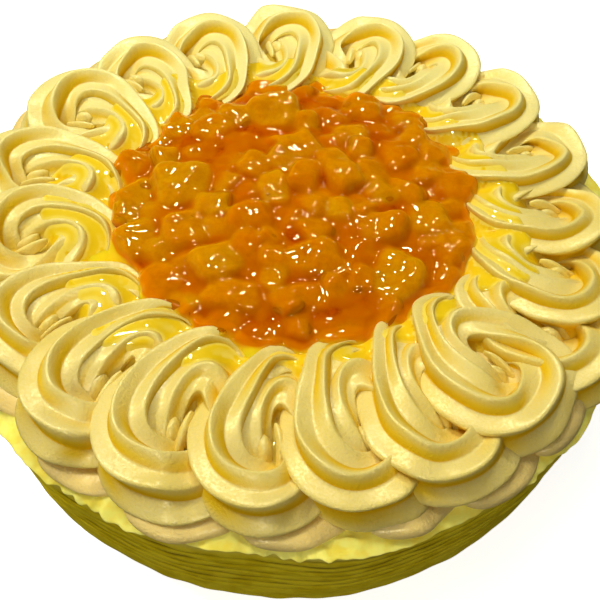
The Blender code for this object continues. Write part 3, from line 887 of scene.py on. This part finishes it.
glaze = soft_fruit("mango_glaze", 0.02)
glaze_thickness = glaze.attribute("thickness")
glaze_top = glaze.attribute("top")
glaze_grain = glaze.noise(glaze.place(), 700.0, 2.0, 0.6).step(0.30, 0.70)
glaze_spots = glaze.noise(glaze.place(), 150.0, 3.0).step(0.40, 0.60)
glaze_deep = glaze.mix(glaze_spots, colour(152, 52, 0), colour(180, 82, 0))
glaze_colour = glaze.mix(glaze_grain, glaze_deep, colour(184, 80, 0))
glaze_colour = glaze.mix(glaze.attribute("near").step(0.10, 0.80), glaze_colour, colour(192, 100, 0))
glaze_colour = glaze.mix(glaze_top.step(0.15, 0.95), glaze_colour, fruit_colour(glaze))
glaze_colour = glaze.mix(glaze_thickness.step(0.40, 0.12), glaze_colour, colour(216, 126, 0))
glaze_colour = glaze.mix(glaze_thickness.step(0.12, 0.0), glaze_colour, colour(240, 206, 30))
glaze.feed("Base Color", glaze_colour)
# The glaze glows faintly in its own colour too: painted light.
glaze.feed("Emission Color", glaze_colour)

dice_points, dice_faces, dice_attributes = dice_mesh()
dice_piece = mesh_piece("mango_dice", dice_points, dice_faces, mango_flesh.material, dice_attributes)
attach(dice_piece, "root")

pool_points, pool_faces, pool_attributes = glaze_pool()
pool_piece = mesh_piece("mango_glaze", pool_points, pool_faces, glaze.material, pool_attributes)
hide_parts("mango_in_glaze")
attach(pool_piece, "root")

# The syrup that ran from the fruit over the border.
# It is the thin yellow juice of the glaze. It stands in the valleys of the rosettes beside the mango,
# most of all at the left and the right, and the crests of the cream stand out of it.
SYRUP_NEAR = 0.0560
SYRUP_FAR = 0.0880
SYRUP_RINGS = 84
SYRUP_COLUMNS = 900
# How far out it lies everywhere, how high over the evened cream, and how deep it sinks past its runs.
SYRUP_REACH = 0.0665
SYRUP_OVER = 0.0004
SYRUP_SINK = 0.0050
# How much less far it ran at the front, which way that is, and how wide, in radians.
SYRUP_SHORT = 0.0045
SYRUP_FRONT = 1.55 * math.pi
SYRUP_FRONT_WIDTH = 0.8
# Where round the cake it ran out, in degrees from the right, how wide, and how far past the pool.
SYRUP_RUNS = ((178, 15, 0.017), (205, 12, 0.012), (150, 12, 0.011), (128, 9, 0.009), (226, 8, 0.015),
              (245, 6, 0.006), (341, 10, 0.017), (2, 9, 0.010), (25, 14, 0.007), (70, 16, 0.005),
              (100, 10, 0.006))


def syrup_film():
    """A ring of grid whose height is the cream's own, evened out, so that it fills the valleys and runs
    under the crests. Past the reach of each run it sinks into the cream."""
    ring = np.linspace(SYRUP_NEAR, SYRUP_FAR, SYRUP_RINGS)[:, None]
    angle = np.linspace(0, 2 * math.pi, SYRUP_COLUMNS, endpoint=False)[None, :]
    x, y = ring * np.cos(angle), ring * np.sin(angle)
    front = np.exp(-((angle - SYRUP_FRONT) / SYRUP_FRONT_WIDTH) ** 2)
    reach = SYRUP_REACH + 0.0015 * waves(angle, 41, 5, 25) - SYRUP_SHORT * front
    for middle, width, extent in SYRUP_RUNS:
        offset = (np.degrees(angle) - middle + 180) % 360 - 180
        reach = reach + extent * np.exp(-(offset / width) ** 2)
    sunk = smooth(ring, reach - 0.003, reach + 0.004)
    height = from_map(evened(cream_heights, 18), x, y) + SYRUP_OVER - SYRUP_SINK * sunk
    depth = height - from_map(cream_heights, x, y)
    top = polar(ring, angle, CAKE_TOP + np.maximum(height, 0.0006))
    bottom = polar(ring, angle, CAKE_TOP + 0.0003)[::-1]
    points = np.concatenate([top, bottom[[0, -1]]]).reshape(-1, 3)
    depths = np.concatenate([np.clip(depth, 0, 0.01).ravel(), np.zeros(2 * SYRUP_COLUMNS)]) / 0.004
    faces = grid_faces(SYRUP_RINGS + 2, SYRUP_COLUMNS, closed_rows=True, closed_columns=True)
    return points, faces[:, ::-1], depths


syrup = Shader("mango_syrup", Roughness=0.4, Specular_IOR_Level=0.1, Coat_Weight=1.0,
               Coat_Roughness=0.03)
syrup_depth = syrup.attribute("depth")
syrup_colour = syrup.mix(syrup_depth.step(0.0, 0.25), colour(247, 224, 90), colour(242, 208, 24))
syrup.feed("Base Color", syrup.mix(syrup_depth.step(0.4, 1.3), syrup_colour, colour(234, 182, 2)))
syrup.bump(syrup.noise(syrup.place(), 180.0, 2.0), 0.0004, 0.4)

syrup_points, syrup_faces, syrup_depths = syrup_film()
syrup_piece = mesh_piece("mango_syrup", syrup_points, [syrup_faces], syrup.material,
                         {"depth": syrup_depths})
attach(syrup_piece, "root")
